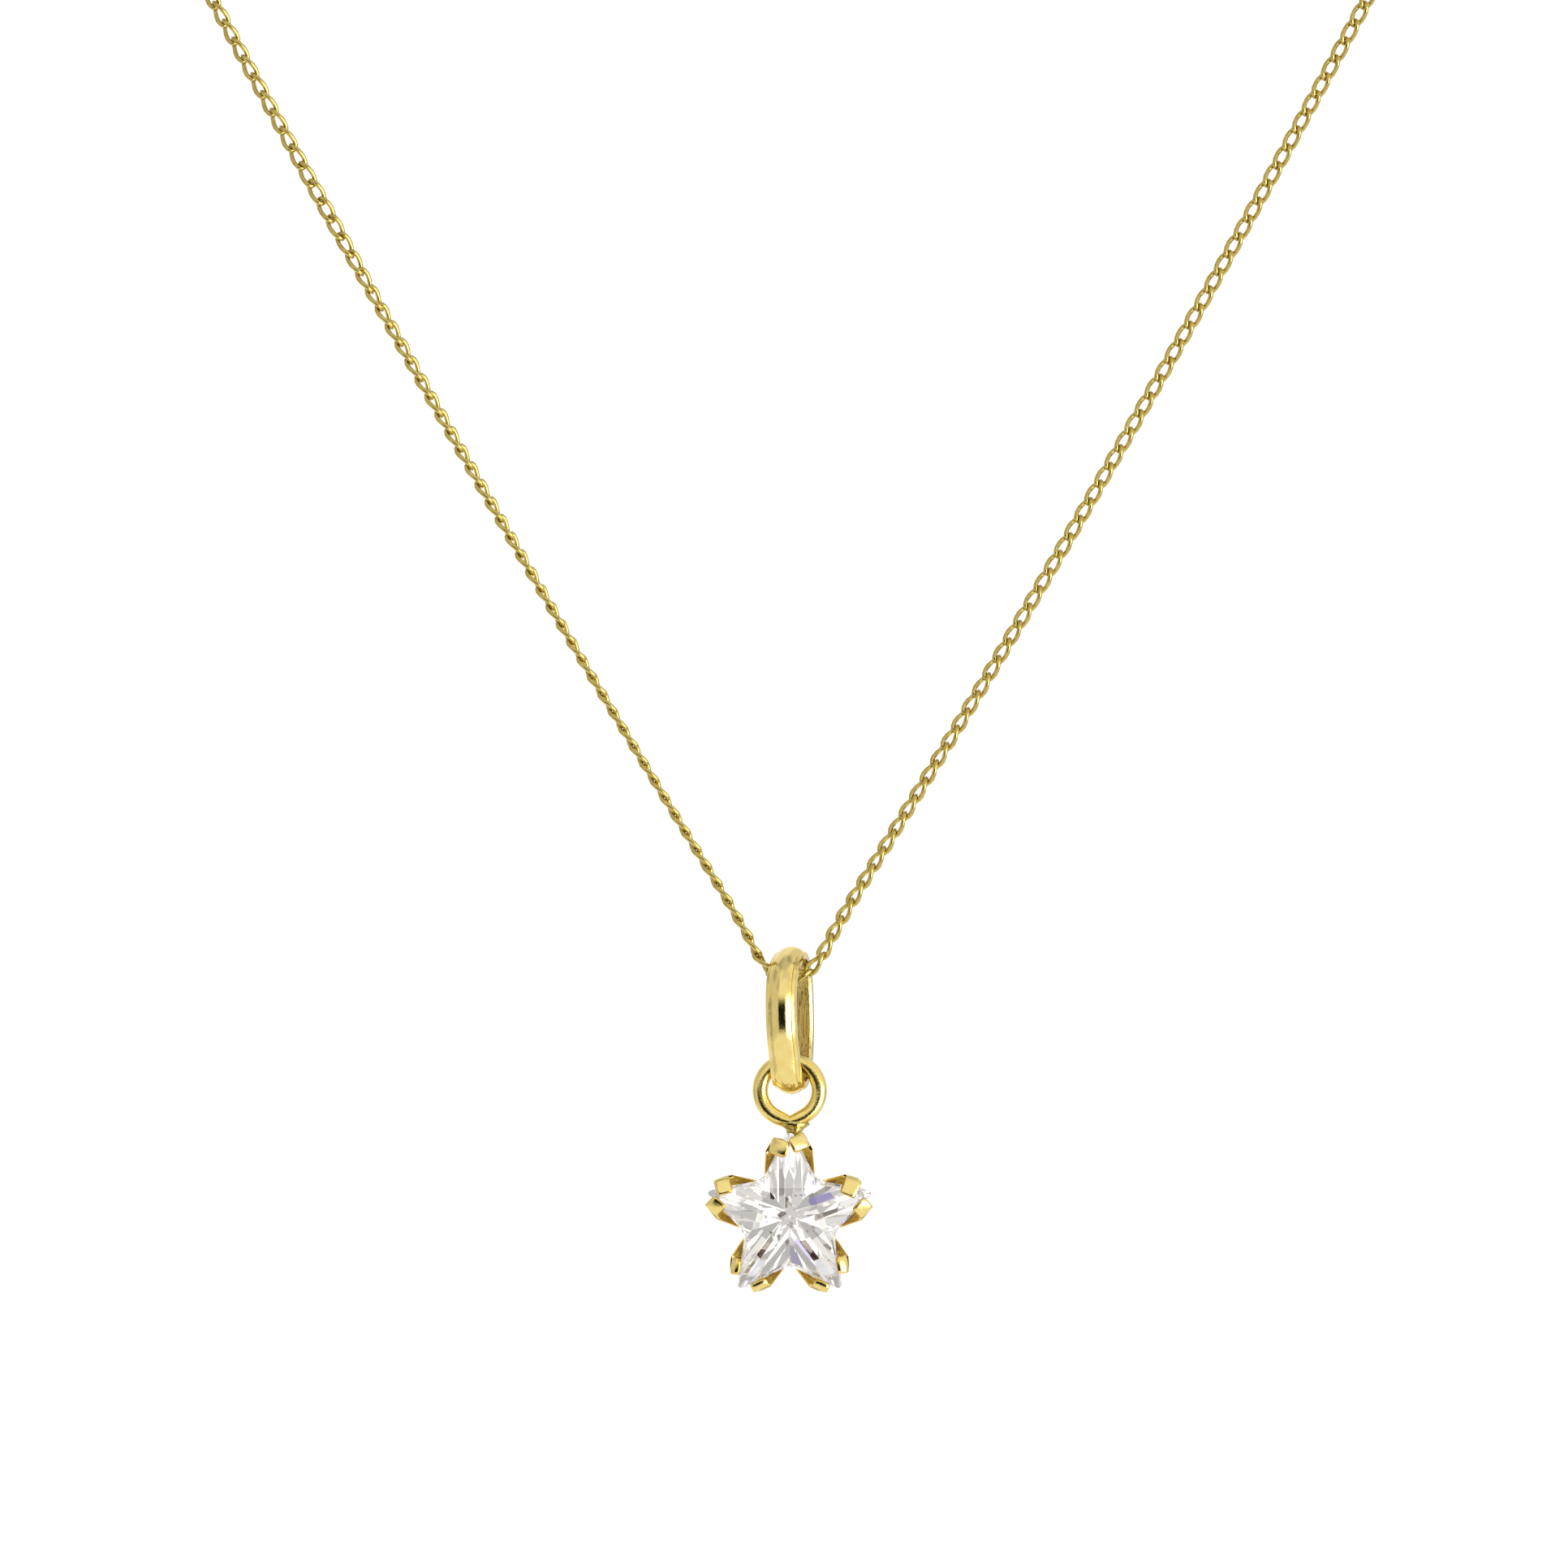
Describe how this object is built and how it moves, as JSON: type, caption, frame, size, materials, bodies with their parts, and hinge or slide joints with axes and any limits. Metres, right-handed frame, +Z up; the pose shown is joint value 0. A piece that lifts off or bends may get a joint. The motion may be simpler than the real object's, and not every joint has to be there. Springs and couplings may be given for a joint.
{
  "type": "star pendant necklace",
  "caption": "Star-shaped clear stone in a claw setting on a loop ring and oval bail, hung on a fine curb neck chain.",
  "frame": {"origin": "centre of the clasp ring at the nape, where the necklace hangs from the back of the neck", "axes": "+Z up as worn, -Y to the front where the pendant hangs, +X to the pendant's right as seen from the front"},
  "size_m": [0.1026, 0.0787, 0.1303],
  "materials": {
    "gold": "polished yellow gold",
    "chain_gold": "polished drawn gold wire",
    "stone": "clear faceted cubic zirconia"
  },
  "bodies": {
    "necklace": {"chain": "chain_gold", "clasp": "gold"},
    "bail_body": {"bail": "gold"},
    "drop": {"star_setting": "gold", "star_stone": "stone"}
  },
  "joints": [
    {"name": "bail_swing", "type": "hinge", "parent": "necklace", "child": "bail_body", "pos_m": [0, -0.076, -0.11212], "axis": [0.9659, -0.2588, 0], "range_deg": [-90, 90]},
    {"name": "drop_sway", "type": "hinge", "parent": "bail_body", "child": "drop", "pos_m": [0, -0.076, -0.11772], "axis": [0, -1, 0], "range_deg": [-90, 90]}
  ]
}
